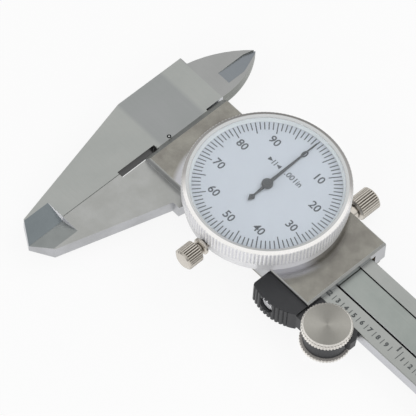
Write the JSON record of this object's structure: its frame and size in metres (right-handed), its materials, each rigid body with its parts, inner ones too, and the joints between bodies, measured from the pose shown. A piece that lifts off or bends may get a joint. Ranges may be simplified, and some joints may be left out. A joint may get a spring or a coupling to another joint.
{
  "type": "dial caliper",
  "caption": "Dial caliper with outside and inside jaws, a slider with round dial and bezel, a covered rack, a depth rod and a thumb roller, closed.",
  "frame": {"origin": "centre of the fixed jaw's outside measuring face", "axes": "+X along the beam in the direction the slider opens, +Y across the beam towards the inside jaws, +Z out of the dial's face"},
  "size_m": [0.2303, 0.074, 0.014],
  "materials": {
    "ground_steel": "satin, ground lengthways",
    "satin_steel": "matt satin",
    "turned_steel": "turned and knurled",
    "bright_chrome": "polished plate",
    "hardened_steel": "bright",
    "movement_brass": "fine turned",
    "dial_enamel": "matt silver-grey with dark print",
    "pointer_enamel": "semi-gloss black",
    "clear_crystal": "clear",
    "black_plastic": "moulded, slightly glossy",
    "black_rubber": "matt"
  },
  "bodies": {
    "beam_body": {"beam": "ground_steel", "rack": "ground_steel", "rack_pins": "hardened_steel", "head_dowel": "hardened_steel", "end_stop": "satin_steel", "end_stop_screws": "hardened_steel"},
    "slider_body": {"slider": "satin_steel", "gib": "movement_brass", "gib_screws": "hardened_steel", "back_plate": "satin_steel", "back_plate_screws": "hardened_steel", "depth_rod": "ground_steel", "depth_rod_rivets": "hardened_steel", "dial_case": "bright_chrome", "case_screws": "hardened_steel", "case_bushes": "movement_brass", "bridge": "movement_brass", "bridge_bushes": "movement_brass", "bridge_posts": "movement_brass", "bridge_screws": "hardened_steel", "hairspring": "hardened_steel", "hairspring_stud": "movement_brass", "bezel_clip": "bright_chrome", "thumb_rest": "black_plastic", "thumb_rest_screw": "bright_chrome"},
    "rack_gear_body": {"gear_shaft": "hardened_steel", "drive_gear": "movement_brass"},
    "pointer_body": {"pointer_arbor": "hardened_steel", "pointer": "pointer_enamel"},
    "takeup_body": {"takeup_arbor": "hardened_steel", "takeup_wheel": "movement_brass"},
    "bezel_body": {"bezel": "bright_chrome", "dial_face": "dial_enamel", "dial_spacer": "dial_enamel", "crystal": "clear_crystal"},
    "bezel_clamp_body": {"bezel_clamp_screw": "turned_steel"},
    "lock_screw_body": {"lock_screw": "turned_steel"},
    "thumb_roller_body": {"roller_front_disc": "turned_steel", "roller_rear_disc": "turned_steel", "roller_hub": "hardened_steel", "roller_tyre": "black_rubber", "roller_axle": "hardened_steel"}
  },
  "joints": [
    {"name": "slider_slide", "type": "slide", "parent": "beam_body", "child": "slider_body", "axis": [1, 0, 0], "range_m": [0, 0.1524]},
    {"name": "rack_gear_spin", "type": "hinge", "parent": "slider_body", "child": "rack_gear_body", "pos_m": [0.03532, 0.03007, 0.00375], "axis": [0, 0, 1], "range_deg": [-5, 5405]},
    {"name": "pointer_spin", "type": "hinge", "parent": "slider_body", "child": "pointer_body", "pos_m": [0.0278, 0.0328, 0.00575], "axis": [0, 0, 1], "range_deg": [-21605, 5]},
    {"name": "takeup_spin", "type": "hinge", "parent": "slider_body", "child": "takeup_body", "pos_m": [0.02226, 0.03365, 0.00575], "axis": [0, 0, 1], "range_deg": [-5, 8645]},
    {"name": "thumb_roller_spin", "type": "hinge", "parent": "slider_body", "child": "thumb_roller_body", "pos_m": [0.06075, 0.02022, 0.00025], "axis": [0, 0, 1], "range_deg": [-5, 1870.79]},
    {"name": "bezel_turn", "type": "hinge", "parent": "slider_body", "child": "bezel_body", "pos_m": [0.0278, 0.0328, 0.00775], "axis": [0, 0, 1], "continuous": true},
    {"name": "bezel_clamp_turn", "type": "hinge", "parent": "slider_body", "child": "bezel_clamp_body", "pos_m": [0.0278, 0.0128, 0.005], "axis": [0, 1, 0], "range_deg": [-360, 20]},
    {"name": "lock_screw_turn", "type": "hinge", "parent": "slider_body", "child": "lock_screw_body", "pos_m": [0.0416, 0.0468, 0], "axis": [0, -1, 0], "range_deg": [-360, 20]}
  ],
  "couplings": [
    {"joint": "rack_gear_spin", "follows": "slider_slide", "rad_per_m": 618.42},
    {"joint": "pointer_spin", "follows": "slider_slide", "rad_per_m": -2473.7},
    {"joint": "takeup_spin", "follows": "slider_slide", "rad_per_m": 989.48},
    {"joint": "thumb_roller_spin", "follows": "slider_slide", "rad_per_m": 213.68}
  ]
}
